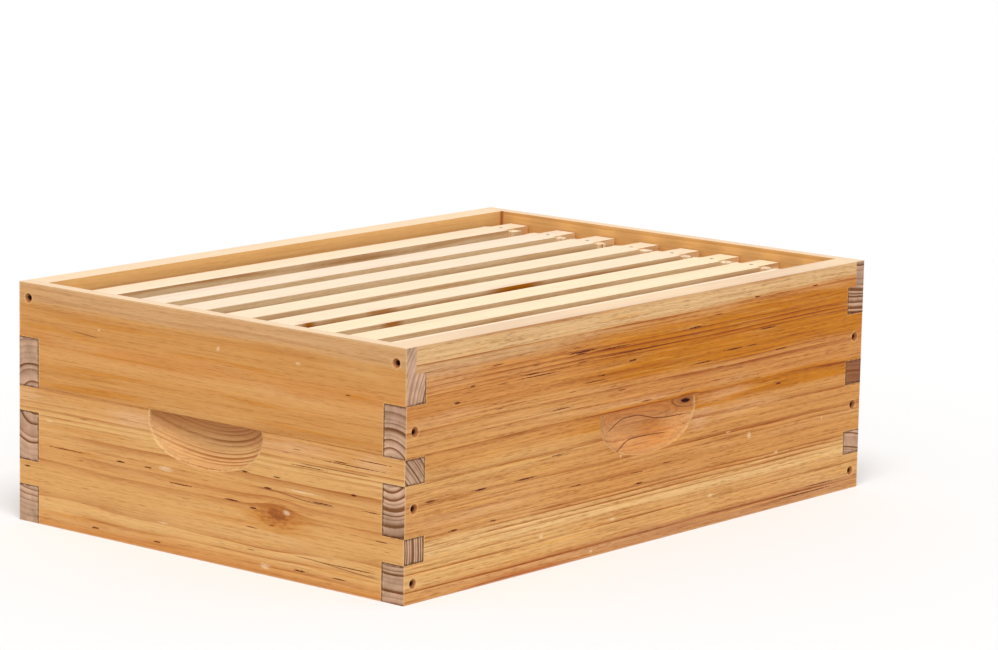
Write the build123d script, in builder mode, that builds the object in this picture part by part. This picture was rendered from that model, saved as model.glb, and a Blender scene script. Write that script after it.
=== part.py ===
"""An eight-frame Langstroth super: a finger-jointed hive box, its nails and eight comb frames.

Millimetres. Origin at the centre of the box's underside, X along the box and its frames,
Y across the row of frames, +Z up. "Front" is the end at -X and "right" the side at -Y.
Every frame hangs by its two lugs on the rabbets of the end boards and lifts straight out.
"""
import os
from math import sqrt

from build123d import *

# ---- driving dimensions of the box ----------------------------------------------------
box_length = 504.825
box_width = 355.6
box_height = 168.275
board_thickness = 19.05

# finger joint, counted down from the top: end board, side board, end board, side board ...
top_finger = 38.0
side_finger = 34.75
end_finger = 17.25

# rabbet along the inner top edge of each end board
rabbet_depth = 18.0
land_thickness = 9.525

# handhold: cut by a wide rounded cutter that turns about an upright axis outside the board
grip_ledge_height = 96.5
grip_width = 105.4
grip_height = 34.2
grip_depth = 13.8
grip_crest_drop = 6.0

# box nails, driven below the surface in countersunk pilot holes
box_nail_shank = 2.6
box_nail_head = 3.0
box_nail_head_height = 1.2
box_nail_length = 50.0
box_nail_sink = 4.5
pilot_hole = 3.2
countersink_mouth = 7.0
countersink_angle = 90
side_nail_setback = 9.0
side_nail_heights = (13.2, 62.4, 112.9)
end_nail_setback = 8.9
end_nail_height = 157.6

# ---- driving dimensions of a frame ----------------------------------------------------
frame_centres = (139.5, 92.5, 54.0, 11.5, -27.0, -64.0, -100.5, -137.0)
turned_frames = (1, 4, 6)
frame_height = 158.75

top_bar_length = 482.6
top_bar_width = 24.0
top_bar_thickness = 19.05
lug_width = 17.5
lug_thickness = 9.525

end_bar_thickness = 9.525
end_bars_outside = 447.7
shoulder_width = 34.925
shoulder_height = 56.0
waist_width = 28.6
waist_taper = 14.0
taper_radius = 9.0
cheek_drop = 1.0
vee_cut = 4.0

bottom_bar_width = 19.05
bottom_bar_thickness = 9.525
joint_clearance = 0.1

groove_depth = 4.0
groove_width = 2.9
foundation_thickness = 2.6
foundation_top_gap = 0.5
foundation_end_gap = 3.0

frame_nail_shank = 1.25
frame_nail_bore = 1.4
frame_nail_head = 3.0
frame_nail_head_bore = 3.1
frame_nail_head_height = 0.5
top_nail_length = 30.0
cross_nail_length = 25.0
cross_nail_offset = 6.0
cross_nail_height = 147.5
bottom_nail_length = 22.0
bottom_nail_offset = 4.5

# room left beyond the tip of every nail
tip_room = 0.6

# ---- worked out from the above --------------------------------------------------------
half_length = box_length / 2
half_width = box_width / 2

top_finger_base = box_height - top_finger
finger_pitch = side_finger + end_finger
side_finger_spans = (
    (top_finger_base - side_finger, top_finger_base),
    (top_finger_base - side_finger - finger_pitch, top_finger_base - finger_pitch),
    (0.0, top_finger_base - 2 * finger_pitch),
)
end_finger_spans = (
    (top_finger_base, box_height - rabbet_depth),
    (side_finger_spans[1][1], side_finger_spans[0][0]),
    (side_finger_spans[2][1], side_finger_spans[1][0]),
)
rabbet_height = box_height - rabbet_depth

frame_top = rabbet_height + lug_thickness
frame_bottom = frame_top - frame_height
top_bar_underside = frame_top - top_bar_thickness
bottom_bar_top = frame_bottom + bottom_bar_thickness
cheek_top = frame_top - cheek_drop
shoulder_base = cheek_top - shoulder_height

end_bar_outer = end_bars_outside / 2
end_bar_inner = end_bar_outer - end_bar_thickness
end_bar_middle = end_bar_outer - end_bar_thickness / 2
foundation_base = bottom_bar_top - groove_depth
foundation_top = top_bar_underside + groove_depth - foundation_top_gap

finished = {}


def keep(name, piece):
    """Label a finished piece and list it for writing."""
    piece.label = name
    finished[name] = piece


def outward(x, y, z, normal, across):
    """A plane on a face: its Z leaves the face along normal, its X runs along across."""
    return Plane(origin=(x, y, z), x_dir=across, z_dir=normal)


def nail(length, shank, head, head_height):
    """One nail along -Z. Its head's flat top is at Z = 0."""
    point = 1.5 * shank
    with BuildPart() as made:
        with BuildSketch(Plane.XZ):
            with BuildLine():
                Polyline(
                    (0, 0),
                    (head / 2, 0),
                    (head / 2, -head_height),
                    (shank / 2, -head_height),
                    (shank / 2, point - length),
                    (0, -length),
                    close=True,
                )
            make_face()
        revolve(axis=Axis.Z)
    return made.part


# ---- where the box nails go -----------------------------------------------------------
def side_nail_planes(side, depth):
    """Planes of the nails through the side board at Y sign side, depth below its face."""
    y = side * (half_width - depth)
    return [
        outward(end * (half_length - side_nail_setback), y, z, (0, side, 0), (1, 0, 0))
        for end in (-1, 1)
        for z in side_nail_heights
    ]


def end_nail_planes(end, depth):
    """Planes of the nails through the end board at X sign end, depth below its face."""
    x = end * (half_length - depth)
    return [
        outward(x, side * (half_width - end_nail_setback), end_nail_height, (end, 0, 0), (0, 1, 0))
        for side in (-1, 1)
    ]


box_nail_reach = box_nail_sink + box_nail_length + tip_room


# ---- handhold cutter ------------------------------------------------------------------
def grip_cutter():
    """The cutter's swept solid. Local Y is up the board and local Z leaves its face."""
    half_chord = grip_height - grip_crest_drop
    radius = (half_chord**2 + grip_depth**2) / (2 * grip_depth)
    centre_out = radius - grip_depth
    ledge_depth = sqrt(radius**2 - grip_crest_drop**2) - centre_out
    axis_out = ((grip_width / 2) ** 2 - ledge_depth**2) / (2 * ledge_depth)
    run_out = 1.0
    low_end = -grip_crest_drop - sqrt(radius**2 - (centre_out - run_out) ** 2)
    with BuildPart() as cutter:
        with BuildSketch(Plane.YZ):
            with BuildLine():
                Polyline((low_end, run_out), (low_end, axis_out), (0, axis_out), (0, -ledge_depth))
                ThreePointArc((0, -ledge_depth), (-grip_crest_drop, -grip_depth), (low_end, run_out))
            make_face()
        revolve(axis=Axis((0, 0, axis_out), (0, 1, 0)))
    return cutter.part


cutter_solid = grip_cutter()


# ---- the four boards ------------------------------------------------------------------
def side_board(side):
    """A long board: it owns the lowest finger, and its top tongue fills the rabbet's end."""
    face = outward(0, side * half_width, 0, (0, side, 0), (-side, 0, 0))
    grip = outward(0, side * half_width, grip_ledge_height, (0, side, 0), (-side, 0, 0))
    tongue_end = half_length - land_thickness / 2
    with BuildPart() as board:
        with BuildSketch(face):
            with Locations((0, box_height / 2)):
                Rectangle(box_length, box_height)
            for end in (-1, 1):
                for low, high in end_finger_spans:
                    with Locations((end * (half_length - board_thickness / 2), (low + high) / 2)):
                        Rectangle(board_thickness, high - low, mode=Mode.SUBTRACT)
                with Locations((end * tongue_end, box_height - rabbet_depth / 2)):
                    Rectangle(land_thickness, rabbet_depth, mode=Mode.SUBTRACT)
        extrude(amount=-board_thickness)
        with Locations(grip):
            add(cutter_solid, mode=Mode.SUBTRACT)
        with Locations(*side_nail_planes(side, 0)):
            CounterSinkHole(
                pilot_hole / 2, countersink_mouth / 2, board_thickness, countersink_angle
            )
        for end in (-1, 1):
            tongue_face = end_nail_planes(end, land_thickness)
            with Locations(tongue_face[0] if side < 0 else tongue_face[1]):
                Hole(pilot_hole / 2, box_nail_reach - land_thickness)
    return board.part


def end_board(end):
    """A short board: it owns the top finger and carries the frames on its rabbet."""
    face = outward(end * half_length, 0, 0, (end, 0, 0), (0, end, 0))
    grip = outward(end * half_length, 0, grip_ledge_height, (end, 0, 0), (0, end, 0))
    rabbet_middle = end * (half_length - (land_thickness + board_thickness) / 2)
    with BuildPart() as board:
        with BuildSketch(face):
            with Locations((0, box_height / 2)):
                Rectangle(box_width, box_height)
            for side in (-1, 1):
                for low, high in side_finger_spans:
                    with Locations((side * (half_width - board_thickness / 2), (low + high) / 2)):
                        Rectangle(board_thickness, high - low, mode=Mode.SUBTRACT)
        extrude(amount=-board_thickness)
        with BuildSketch(Plane.XY.offset(box_height)):
            with Locations((rabbet_middle, 0)):
                Rectangle(board_thickness - land_thickness, box_width)
        extrude(amount=-rabbet_depth, mode=Mode.SUBTRACT)
        with Locations(grip):
            add(cutter_solid, mode=Mode.SUBTRACT)
        with Locations(*end_nail_planes(end, 0)):
            CounterSinkHole(pilot_hole / 2, countersink_mouth / 2, land_thickness, countersink_angle)
        for side in (-1, 1):
            near_this_end = [
                plane
                for plane in side_nail_planes(side, board_thickness)
                if plane.origin.X * end > 0
            ]
            with Locations(*near_this_end):
                Hole(pilot_hole / 2, box_nail_reach - board_thickness)
    return board.part


def nail_group(planes, one_nail):
    """Copies of one nail, its head in each of the planes."""
    with BuildPart() as group:
        with Locations(*planes):
            add(one_nail)
    return group.part


box_nail = nail(box_nail_length, box_nail_shank, box_nail_head, box_nail_head_height)

keep("side_board_left", side_board(1))
keep("side_board_right", side_board(-1))
keep("end_board_front", end_board(-1))
keep("end_board_rear", end_board(1))
keep("nails_side_left", nail_group(side_nail_planes(1, box_nail_sink), box_nail))
keep("nails_side_right", nail_group(side_nail_planes(-1, box_nail_sink), box_nail))
keep("nails_end_front", nail_group(end_nail_planes(-1, box_nail_sink), box_nail))
keep("nails_end_rear", nail_group(end_nail_planes(1, box_nail_sink), box_nail))


# ---- where a frame's nails go ---------------------------------------------------------
def top_nail_planes(centre):
    """One nail down through each lug's root into the end bar."""
    return [
        outward(end * end_bar_middle, centre, frame_top, (0, 0, 1), (1, 0, 0))
        for end in (-1, 1)
    ]


def cross_nail_planes(centre):
    """One nail through each end bar into the end grain of the top bar."""
    return [
        outward(
            end * end_bar_outer,
            centre + end * cross_nail_offset,
            cross_nail_height,
            (end, 0, 0),
            (0, 1, 0),
        )
        for end in (-1, 1)
    ]


def bottom_nail_planes(centre):
    """Two nails up through each end of the bottom bar into the end bar."""
    return [
        outward(
            end * end_bar_middle,
            centre + side * bottom_nail_offset,
            frame_bottom,
            (0, 0, -1),
            (1, 0, 0),
        )
        for end in (-1, 1)
        for side in (-1, 1)
    ]


def lower(planes, depth):
    """The same planes, moved depth into the wood."""
    return [plane.offset(-depth) for plane in planes]


def head_hole(depth):
    """Bore and head recess of a frame nail in the piece that it is driven through."""
    CounterBoreHole(
        frame_nail_bore / 2, frame_nail_head_bore / 2, frame_nail_head_height, depth
    )


# ---- the pieces of a frame ------------------------------------------------------------
def top_bar(centre):
    """The grooved bar that the frame hangs by, thinned and narrowed to a lug at each end."""
    with BuildPart() as bar:
        with BuildSketch(Plane.XY.offset(frame_top)):
            with Locations((0, centre)):
                Rectangle(top_bar_length, lug_width)
        extrude(amount=-lug_thickness)
        with BuildSketch(Plane.XY.offset(frame_top)):
            with Locations((0, centre)):
                Rectangle(2 * end_bar_inner, top_bar_width)
        extrude(amount=-top_bar_thickness)
        with BuildSketch(Plane.XY.offset(top_bar_underside)):
            with Locations((0, centre)):
                Rectangle(2 * end_bar_inner, groove_width)
        extrude(amount=groove_depth, mode=Mode.SUBTRACT)
        with Locations(*top_nail_planes(centre)):
            head_hole(lug_thickness)
        with Locations(*lower(cross_nail_planes(centre), end_bar_thickness)):
            Hole(frame_nail_bore / 2, cross_nail_length + tip_room - end_bar_thickness)
    return bar.part


def end_bar(centre, end, vee_side):
    """A Hoffman end bar: a forked top, wide shoulders with one vee edge, a narrower waist."""
    start = outward(end * end_bar_outer, centre, 0, (end, 0, 0), (0, end, 0))
    fork_half = lug_width / 2 + joint_clearance
    foot_half = bottom_bar_width / 2 + joint_clearance
    with BuildPart() as bar:
        with BuildSketch(start):
            with BuildLine():
                Polyline(
                    (0, rabbet_height),
                    (fork_half, rabbet_height),
                    (fork_half, cheek_top),
                    (shoulder_width / 2, cheek_top),
                    (shoulder_width / 2, shoulder_base),
                    (waist_width / 2, shoulder_base - waist_taper),
                    (waist_width / 2, frame_bottom),
                    (foot_half, frame_bottom),
                    (foot_half, bottom_bar_top),
                    (0, bottom_bar_top),
                )
                mirror(about=Plane.YZ)
            make_face()
            taper_ends = vertices().filter_by_position(
                Axis.Y, shoulder_base - waist_taper - 1, shoulder_base + 1
            )
            fillet(taper_ends, taper_radius)
        extrude(amount=-end_bar_thickness)
        upright = bar.edges().filter_by(Axis.Z).group_by(Axis.Y)
        chamfer(upright[-1] if vee_side > 0 else upright[0], vee_cut)
        with Locations(*lower(top_nail_planes(centre), lug_thickness)):
            Hole(frame_nail_bore / 2, top_nail_length + tip_room - lug_thickness)
        with Locations(*lower(bottom_nail_planes(centre), bottom_bar_thickness)):
            Hole(frame_nail_bore / 2, bottom_nail_length + tip_room - bottom_bar_thickness)
        with Locations(*cross_nail_planes(centre)):
            head_hole(end_bar_thickness)
    return bar.part


def bottom_bar(centre):
    """The narrow bar that closes the frame, let into the feet of the end bars."""
    with BuildPart() as bar:
        with BuildSketch(Plane.XY.offset(frame_bottom)):
            with Locations((0, centre)):
                Rectangle(end_bars_outside, bottom_bar_width)
        extrude(amount=bottom_bar_thickness)
        with BuildSketch(Plane.XY.offset(bottom_bar_top)):
            with Locations((0, centre)):
                Rectangle(2 * end_bar_inner, groove_width)
        extrude(amount=-groove_depth, mode=Mode.SUBTRACT)
        with Locations(*bottom_nail_planes(centre)):
            head_hole(bottom_bar_thickness)
    return bar.part


def foundation(centre):
    """The stiff sheet that stands in the grooves and starts the comb."""
    with BuildPart() as sheet:
        with BuildSketch(Plane.XY.offset(foundation_base)):
            with Locations((0, centre)):
                Rectangle(2 * (end_bar_inner - foundation_end_gap), foundation_thickness)
        extrude(amount=foundation_top - foundation_base)
    return sheet.part


def frame_nails(centre):
    """The frame's eight nails: two on top, two across, four below."""
    groups = (
        (top_nail_planes(centre), top_nail_length),
        (cross_nail_planes(centre), cross_nail_length),
        (bottom_nail_planes(centre), bottom_nail_length),
    )
    with BuildPart() as group:
        for planes, length in groups:
            one_nail = nail(length, frame_nail_shank, frame_nail_head, frame_nail_head_height)
            with Locations(*planes):
                add(one_nail)
    return group.part


for number, centre in enumerate(frame_centres, start=1):
    vee_at_rear = 1 if number in turned_frames else -1
    keep(f"frame_{number}_top_bar", top_bar(centre))
    keep(f"frame_{number}_end_bar_front", end_bar(centre, -1, -vee_at_rear))
    keep(f"frame_{number}_end_bar_rear", end_bar(centre, 1, vee_at_rear))
    keep(f"frame_{number}_bottom_bar", bottom_bar(centre))
    keep(f"frame_{number}_foundation", foundation(centre))
    keep(f"frame_{number}_nails", frame_nails(centre))

os.makedirs("parts", exist_ok=True)
for name, piece in finished.items():
    export_step(piece, f"parts/{name}.step")
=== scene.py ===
"""Looks of an eight-frame hive box: waxed pine boards, planed frames, wax sheets and steel nails.

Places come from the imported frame. Wood is a solid pattern: a plank is cut from a log with growth
rings about a pith, so its faces, its end grain and the scooped handholds agree with each other.
Unless a name says otherwise, lengths in this script are millimetres.
"""

import math
import random
from dataclasses import dataclass
from functools import reduce

import bmesh
import bpy
from mathutils import Matrix, Vector


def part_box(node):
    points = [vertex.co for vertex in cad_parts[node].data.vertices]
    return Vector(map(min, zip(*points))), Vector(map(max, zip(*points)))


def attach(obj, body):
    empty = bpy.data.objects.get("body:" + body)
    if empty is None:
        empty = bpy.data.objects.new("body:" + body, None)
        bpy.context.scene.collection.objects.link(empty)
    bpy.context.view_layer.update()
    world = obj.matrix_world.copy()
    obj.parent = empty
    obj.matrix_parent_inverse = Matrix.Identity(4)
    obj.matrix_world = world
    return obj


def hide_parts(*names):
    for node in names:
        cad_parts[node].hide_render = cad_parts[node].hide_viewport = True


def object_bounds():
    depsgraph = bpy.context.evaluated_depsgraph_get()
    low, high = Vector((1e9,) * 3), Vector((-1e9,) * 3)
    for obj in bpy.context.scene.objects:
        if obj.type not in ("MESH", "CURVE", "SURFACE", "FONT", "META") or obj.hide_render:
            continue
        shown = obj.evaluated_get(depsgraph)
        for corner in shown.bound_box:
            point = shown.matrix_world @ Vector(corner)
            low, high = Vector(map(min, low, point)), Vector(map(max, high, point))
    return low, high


MM = 0.001

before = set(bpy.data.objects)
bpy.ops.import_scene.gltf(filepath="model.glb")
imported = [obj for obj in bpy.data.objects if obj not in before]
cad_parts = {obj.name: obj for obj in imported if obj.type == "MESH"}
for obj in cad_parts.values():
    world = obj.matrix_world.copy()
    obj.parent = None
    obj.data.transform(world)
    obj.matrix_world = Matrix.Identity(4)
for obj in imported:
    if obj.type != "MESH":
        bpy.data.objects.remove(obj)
cad_low, cad_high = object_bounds()

# ---- sizes read from the frame ---------------------------------------------------------
box_length = (cad_high.x - cad_low.x) / MM
box_width = (cad_high.y - cad_low.y) / MM
box_height = (cad_high.z - cad_low.z) / MM
side_low, side_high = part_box("side_board_right")
board_thickness = (side_high.y - side_low.y) / MM
half_length = box_length / 2
half_width = box_width / 2
frame_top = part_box("frame_1_top_bar")[1].z / MM

# ---- places on the boards, as the parts have them --------------------------------------
finger_heights = (26.275, 43.525, 78.275, 95.525, 130.275)
plank_seam = 96.3
side_nail_setback = 9.0
side_nail_heights = (13.2, 62.4, 112.9)
end_nail_setback = 8.9
end_nail_height = 157.6
countersink_radius = 3.5
grip_ledge_height = 96.5
grip_width = 105.4
grip_height = 34.2
rabbet_depth = 18.0

# ---- edges and frames ------------------------------------------------------------------
board_ease = 0.45
frame_ease = 0.5
nail_ease = 0.12
sharp_angle = 35
weld_distance = 0.002
frame_count = 8

# ---- light -----------------------------------------------------------------------------
sky_low = 0.95
sky_high = 0.45
sky_rise = 0.75
sun_strength = 2.6
sun_spread = 35
sun_way = (0.34, 0.30, -0.89)
side_light = 1.08
side_sheen = 0.0065
darkest = 0.0012

# ---- camera and floor: angles in degrees, camera_place and floor_radius in metres --------
camera_azimuth = -50.21
camera_elevation = 10.14
camera_roll = 1.10
camera_place = (-2.1669, -1.8478, 0.6389)
camera_lens = 146.85
floor_radius = 12.0
floor_gap = 0.05

# ---- patterns --------------------------------------------------------------------------
gloss = 0.12
board_relief = 0.1
bar_relief = 0.08
wax_relief = 0.06
steel_relief = 0.05
mark_depth = 4
dash_cell = (40, 4.6, 7)
dash_half = (6.5, 0.42, 3)
fine_cell = (19, 2.7, 5)
fine_half = (4.4, 0.3, 2.2)
cell_pitch = 5.4
sheet_margin = 4.5
seed = 11


def srgb(red, green, blue):
    """A colour given as it shows on a screen, 0 to 255, as linear RGBA."""
    channels = [value / 255 for value in (red, green, blue)]
    return (*((c + 0.055) ** 2.4 / 1.055**2.4 if c > 0.04 else c / 12.92 for c in channels), 1.0)


def seen(red, green, blue):
    """The surface colour that shows as this one on a side of the box, lit and with its sheen."""
    return (*(max(c - side_sheen, darkest) / side_light for c in srgb(red, green, blue)[:3]), 1.0)


# ---- palette -----------------------------------------------------------------------------
CREAM = seen(231, 188, 128)
PALE = seen(222, 181, 129)
STRAW = seen(224, 176, 113)
SAND = seen(217, 165, 102)
HONEY = seen(213, 156, 93)
CLAY = seen(209, 148, 82)
OCHRE = seen(206, 148, 83)
FAWN = seen(207, 160, 110)
TOFFEE = seen(206, 141, 76)
AMBER = seen(196, 121, 26)
DUSK = seen(198, 142, 92)
BRICK = seen(182, 106, 60)
GOLD = seen(226, 166, 84)
BLOOM = seen(226, 180, 138)
LATE_TINT = srgb(196, 146, 84)
FIBRE_TINT = srgb(228, 194, 146)
RESIN = seen(100, 42, 6)
SCOOP = seen(214, 160, 116)
# brown of the late-wood rings in a scoop, also used as painted shadow under the ledge
SCOOP_RINGS_AND_SHADE = seen(168, 104, 52)
TORN = seen(240, 210, 170)
RUST = seen(150, 88, 56)
# painted light: the colour that level tops show under the strong top light
LIT_TOP_FACE = seen(252, 226, 192)
# painted light: the paler colour given to the box's inner faces
INNER_PAINTED_LIGHT = seen(246, 192, 118)
END_EARLY = seen(198, 163, 140)
END_LATE = seen(106, 68, 46)
END_AMBER = seen(134, 74, 34)
# dark dirt in the joints, also used as painted shade in the nail holes
JOINT_DIRT_AND_HOLE_SHADE = seen(84, 50, 32)
KNOT_RED = seen(158, 84, 36)
KNOT_DARK = seen(56, 10, 2)
WORN = seen(240, 206, 164)
FRAME_PALE = seen(250, 219, 176)
FRAME_WARM = seen(241, 205, 154)
# painted light: near-white colours of the bars' tops under the strong top light
LIT_FRAME_TOP = seen(254, 234, 200)
LIT_FRAME_TOP_ROSY = seen(254, 234, 214)
WAX = srgb(226, 178, 88)
# painted shade: the deeper yellow of the wax in the cell bottoms
WAX_SHADE = srgb(198, 140, 52)
STEEL = srgb(128, 124, 120)
STEEL_DARK = srgb(78, 66, 58)


# ---- node trees ----------------------------------------------------------------------------
class Number:
    """A number in a material's node tree. Arithmetic on it adds Math nodes."""

    def __init__(self, graph, socket):
        self.graph = graph
        self.socket = socket

    def math(self, operation, *others):
        node = self.graph.node("ShaderNodeMath", operation=operation)
        for socket, value in zip(node.inputs, (self, *others)):
            self.graph.feed(socket, value)
        return Number(self.graph, node.outputs[0])

    def __add__(self, other):
        return self.math("ADD", other)

    def __sub__(self, other):
        return self.math("SUBTRACT", other)

    def __rsub__(self, other):
        return (self * -1) + other

    def __mul__(self, other):
        return self.math("MULTIPLY", other)

    def __truediv__(self, other):
        return self.math("DIVIDE", other)

    def __pow__(self, other):
        return self.math("POWER", other)

    def __abs__(self):
        return self.math("ABSOLUTE")

    __radd__ = __add__
    __rmul__ = __mul__

    def least(self, other):
        return self.math("MINIMUM", other)

    def most(self, other):
        return self.math("MAXIMUM", other)

    def step(self, low, high):
        """0 up to low and 1 from high on, smooth between. With low above high it falls instead."""
        node = self.graph.node("ShaderNodeMapRange", interpolation_type="SMOOTHSTEP")
        self.graph.feed(node.inputs["Value"], self)
        node.inputs["From Min"].default_value = low
        node.inputs["From Max"].default_value = high
        return Number(self.graph, node.outputs["Result"])


class Graph:
    """A material's node tree, with short calls for what the materials here use."""

    def __init__(self, name):
        self.material = bpy.data.materials.new(name)
        self.material.use_nodes = True
        self.tree = self.material.node_tree
        self.shader = self.tree.nodes["Principled BSDF"]

    def node(self, kind, **settings):
        node = self.tree.nodes.new(kind)
        for name, value in settings.items():
            setattr(node, name, value)
        return node

    def feed(self, socket, value):
        if isinstance(value, Number):
            self.tree.links.new(value.socket, socket)
        else:
            socket.default_value = value

    def vector(self, x, y, z):
        node = self.node("ShaderNodeCombineXYZ")
        for socket, value in zip(node.inputs, (x, y, z)):
            self.feed(socket, value)
        return Number(self, node.outputs[0])

    def parts(self, vector):
        node = self.node("ShaderNodeSeparateXYZ")
        self.feed(node.inputs[0], vector)
        return [Number(self, output) for output in node.outputs]

    def place(self, output="Object"):
        """The shaded point on the object's own axes, or another output of Texture Coordinate."""
        return self.parts(Number(self, self.node("ShaderNodeTexCoord").outputs[output]))

    def noise(self, x, y, z, detail=2.0, roughness=0.5):
        """Smooth noise from about -0.5 to 0.5, with features one unit across."""
        node = self.node("ShaderNodeTexNoise")
        node.inputs["Scale"].default_value = 1.0
        node.inputs["Detail"].default_value = detail
        node.inputs["Roughness"].default_value = roughness
        self.feed(node.inputs["Vector"], self.vector(x, y, z))
        return Number(self, node.outputs["Fac"]) - 0.5

    def chance(self, number):
        """A random number from 0 to 1 for each whole number."""
        node = self.node("ShaderNodeTexWhiteNoise", noise_dimensions="1D")
        self.feed(node.inputs["W"], number)
        return Number(self, node.outputs["Value"])

    def mix(self, factor, first, second, blend="MIX"):
        """first, or second where factor is 1."""
        node = self.node("ShaderNodeMix", data_type="RGBA", blend_type=blend)
        self.feed(node.inputs["Factor"], factor)
        first_colour, second_colour = node.inputs[6:8]
        self.feed(first_colour, first)
        self.feed(second_colour, second)
        return Number(self, node.outputs[2])

    def bands(self, position, stops):
        """A colour for each position from 0 to 1, by stops of (position, colour)."""
        node = self.node("ShaderNodeValToRGB")
        ramp = node.color_ramp
        ramp.interpolation = "EASE"
        while len(ramp.elements) < len(stops):
            ramp.elements.new(0.5)
        for element, (at, colour) in zip(ramp.elements, stops):
            element.position = at
        for element, (at, colour) in zip(ramp.elements, stops):
            element.color = colour
        self.feed(node.inputs["Fac"], position)
        return Number(self, node.outputs["Color"])

    def brighten(self, colour, amount):
        """colour times amount."""
        node = self.node("ShaderNodeVectorMath", operation="SCALE")
        self.feed(node.inputs[0], colour)
        self.feed(node.inputs["Scale"], amount)
        return Number(self, node.outputs[0])

    def finish(self, colour, roughness, height, relief):
        """Feeds the shader. relief is how deep a height of 1 is, in millimetres."""
        bump = self.node("ShaderNodeBump")
        bump.inputs["Strength"].default_value = 1.0
        bump.inputs["Distance"].default_value = relief * MM
        self.feed(bump.inputs["Height"], height)
        self.feed(self.shader.inputs["Base Color"], colour)
        self.feed(self.shader.inputs["Roughness"], roughness)
        self.tree.links.new(bump.outputs["Normal"], self.shader.inputs["Normal"])
        self.shader.inputs["Specular IOR Level"].default_value = gloss
        return self.material


def length_of(*parts):
    """The length of a vector with these parts."""
    total = parts[0] * parts[0]
    for part in parts[1:]:
        total = total + part * part
    return total**0.5


# ---- wood ------------------------------------------------------------------------------------
@dataclass
class Knot:
    """A knot on a board's outer face.

    reach is how far the grain bends round it, rough how broken up it is, core how dark its middle
    is and bark how dark the line round it is.
    """

    along: float
    across: float
    half_length: float
    half_width: float
    reach: float
    rough: float
    core: float
    bark: float


@dataclass
class Crack:
    """A thin curved crack. rises are (start, end, rise) of its height along the board."""

    first: float
    last: float
    height: float
    rises: tuple


@dataclass
class Plank:
    """One plank as sawn from its log, and what marks it.

    pith is where the log's centre lies, as (across, depth), and spacing the width of a ring. bands
    are (across, colour) stops, and far_bands those that take over along far_span. contrast is how
    dark the late wood is, crisp the part of a ring at which it is darkest and wander how far the
    rings stray. stains (orange) and blooms (pale) are (along, across, half length, half width,
    strength). marks (dark), flecks (torn and pale) and end_shades (resin in the end grain) are the
    same without the strength. cracks are in the scoop and splits on the face. scoop_painted_light
    is how much painted light brightens the deepest part of the handhold, scoop_rings how strong the
    late wood is in it, ledge_shade how strong the painted shadow under the ledge is, in brown
    together with the wood's own browner colour there, and scoop_rim how pale its rim is. golden is
    how strong the golden streaks are, fibre how strong the fine ones are, and end_lines how clear
    the rings are in the end grain, as (across, strength) stops. fine_share and dash_share are how
    many of their cells hold a dark streak, the long ones within dash_range across.
    """

    pith: tuple
    spacing: float
    bands: tuple
    far_bands: tuple = ()
    far_span: tuple = (-110, 20)
    contrast: float = 0.6
    crisp: float = 0.88
    wander: float = 3.0
    knots: tuple = ()
    cracks: tuple = ()
    splits: tuple = ()
    stains: tuple = ()
    marks: tuple = ()
    flecks: tuple = ()
    end_shades: tuple = ()
    scoop_painted_light: float = 0.0
    scoop_rings: float = 0.0
    ledge_shade: float = 0.0
    scoop_rim: float = 0.6
    golden: float = 0.4
    end_lines: tuple = ((0, 0.6), (168, 0.6))
    blooms: tuple = ()
    fibre: float = 0.2
    fine_share: float = 0.24
    dash_share: float = 0.3
    dash_range: tuple = (0.0, 1000.0)
    seed: float = 0.0


def nearest(g, along, across, spots):
    """Distance to the nearest of some ellipses, 1 at an ellipse's edge. spots are as marks are."""
    place = g.vector(along, across, 0.0)

    def distance(spot):
        spot_along, spot_across, half_long, half_wide = spot
        node = g.node("ShaderNodeVectorMath", operation="MULTIPLY_ADD")
        g.feed(node.inputs[0], place)
        node.inputs[1].default_value = (1 / half_long, 1 / half_wide, 0)
        node.inputs[2].default_value = (-spot_along / half_long, -spot_across / half_wide, 0)
        far = g.node("ShaderNodeVectorMath", operation="LENGTH")
        g.tree.links.new(node.outputs[0], far.inputs[0])
        return Number(g, far.outputs["Value"])

    return reduce(Number.least, map(distance, spots))


def dashes(g, along, across, depth, cell, half, share, seed):
    """Resin streaks: a share of the cells, each of size cell, hold one dark streak of size half."""
    node = g.node("ShaderNodeTexVoronoi", feature="F1")
    node.inputs["Scale"].default_value = 1.0
    scaled = [value / size for value, size in zip((along, across, depth), cell)]
    g.feed(node.inputs["Vector"], g.vector(scaled[0] + seed, scaled[1] + seed, scaled[2]))
    centre = g.parts(Number(g, node.outputs["Position"]))
    offsets = (seed, seed, 0)
    away = [
        (value + shift - middle) * (size / reach)
        for value, shift, middle, size, reach in zip(scaled, offsets, centre, cell, half)
    ]
    pick, size_pick, _ = g.parts(Number(g, node.outputs["Color"]))
    body = (length_of(*away) / (size_pick + 0.4)).step(1.0, 0.45)
    return body * pick.step(share, share - 0.02)


def crack_line(g, along, across, crack):
    """1 on a crack and 0 away from it, fading towards its ends."""
    height = crack.height
    for start, end, rise in crack.rises:
        height = along.step(start, end) * rise + height
    ends = along.step(crack.first - 2, crack.first + 6)
    ends = ends * along.step(crack.last + 2, crack.last - 10)
    uneven = g.noise(along / 7, across / 30, crack.height, detail=2.0)
    return (abs(across - height) + uneven * 0.5).step(0.55, 0.1) * ends * (uneven * 1.4 + 0.85)


def band_colour(g, across, stops):
    """The colour at a place across the board, by stops of (across, colour)."""
    low = stops[0][0]
    span = stops[-1][0] - low
    return g.bands((across - low) / span, [((at - low) / span, colour) for at, colour in stops])


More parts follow.
